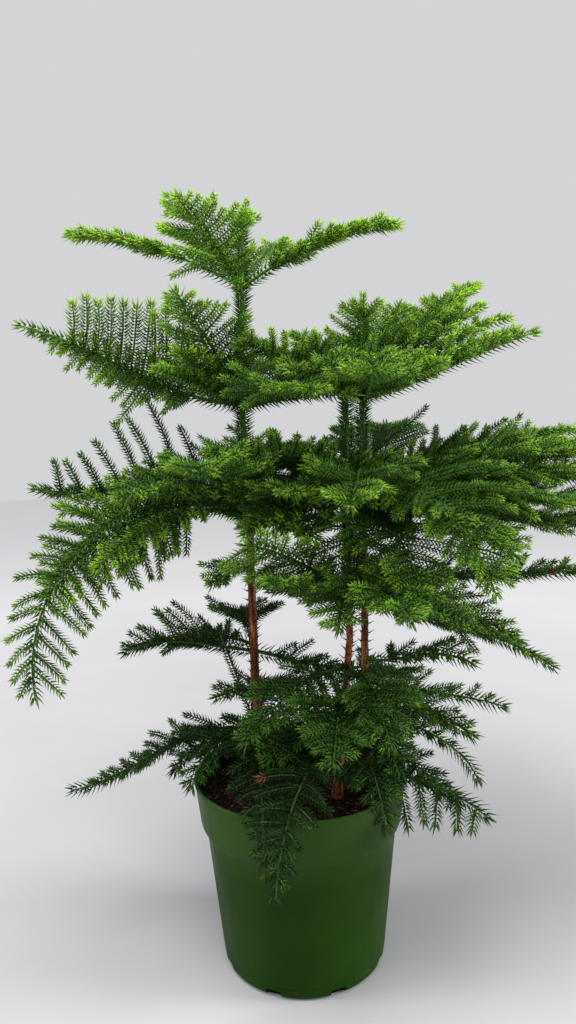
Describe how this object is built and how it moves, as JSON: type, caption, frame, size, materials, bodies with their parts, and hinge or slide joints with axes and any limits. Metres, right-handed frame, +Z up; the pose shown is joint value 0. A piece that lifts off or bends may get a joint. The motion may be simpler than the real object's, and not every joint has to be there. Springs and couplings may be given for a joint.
{
  "type": "potted norfolk island pine",
  "caption": "Young potted conifer: slender upright stems with tiers of flat needle sprays, in a round tapered nursery pot filled with soil.",
  "frame": {"origin": "middle of the pot's flat underside", "axes": "+Z up along the pot's axis, +X to the right and +Y away from the viewer as pictured"},
  "size_m": [0.7717, 0.5319, 0.9563],
  "materials": {
    "pot": "satin moulded polypropylene, dark green",
    "soil": "damp dark potting soil with bark bits",
    "bark": "young red-brown bark, rough with old needle bases",
    "green_wood": "green young wood, satin",
    "needles_young": "bright young needles, satin",
    "needles_mid": "mid green needles, satin",
    "needles_old": "dark green older needles, satin",
    "needles_dry": "dry rust-brown needles, matt"
  },
  "bodies": {
    "root": {"bough_right_2_right": "green_wood", "bough_tall_1_left": "green_wood", "bough_tall_1_right": "green_wood", "bough_tall_2_left": "green_wood", "bough_tall_3_arch": "green_wood", "bough_tall_3_left": "green_wood", "needles_front_1_front": "needles_young", "needles_front_1_left": "needles_young", "needles_front_2_left": "needles_old", "needles_front_3_front": "needles_old", "needles_front_3_right": "needles_old", "needles_front_4_front": "needles_old", "needles_front_4_front_left": "needles_old", "needles_right_1_back": "needles_young", "needles_right_1_back_right": "needles_young", "needles_right_1_far_right": "needles_young", "needles_right_1_front": "needles_young", "needles_right_1_left": "needles_young", "needles_right_1_right": "needles_young", "needles_right_2_back": "needles_mid", "needles_right_2_front": "needles_mid", "needles_right_2_front_right": "needles_mid", "needles_right_2_left": "needles_mid", "needles_right_2_right": "needles_mid", "needles_right_3_lower": "needles_old", "needles_right_3_right": "needles_old", "needles_right_4_front_right": "needles_old", "needles_right_4_right": "needles_old", "needles_right_5_right": "needles_old", "needles_right_6_front_right": "needles_old", "needles_right_leader": "needles_young", "needles_tall_1_back": "needles_young", "needles_tall_1_back_right": "needles_young", "needles_tall_1_front_left": "needles_young", "needles_tall_1_left": "needles_young", "needles_tall_1_right": "needles_young", "needles_tall_2_back": "needles_mid", "needles_tall_2_front_left": "needles_mid", "needles_tall_2_front_right": "needles_mid", "needles_tall_2_left": "needles_mid", "needles_tall_2_right": "needles_mid", "needles_tall_3_arch": "needles_mid", "needles_tall_3_arch_tip": "needles_mid", "needles_tall_3_back": "needles_mid", "needles_tall_3_front": "needles_mid", "needles_tall_3_left": "needles_mid", "needles_tall_3_right": "needles_mid", "needles_tall_4_left": "needles_old", "needles_tall_5_back": "needles_old", "needles_tall_5_left": "needles_old", "needles_tall_5_right": "needles_old", "needles_tall_6_left": "needles_old", "needles_tall_7_front": "needles_old", "needles_tall_7_left": "needles_old", "needles_tall_leader": "needles_young", "pot": "pot", "soil": "soil", "stem_front": "bark", "stem_right": "bark", "stem_tall": "bark"}
  },
  "joints": []
}
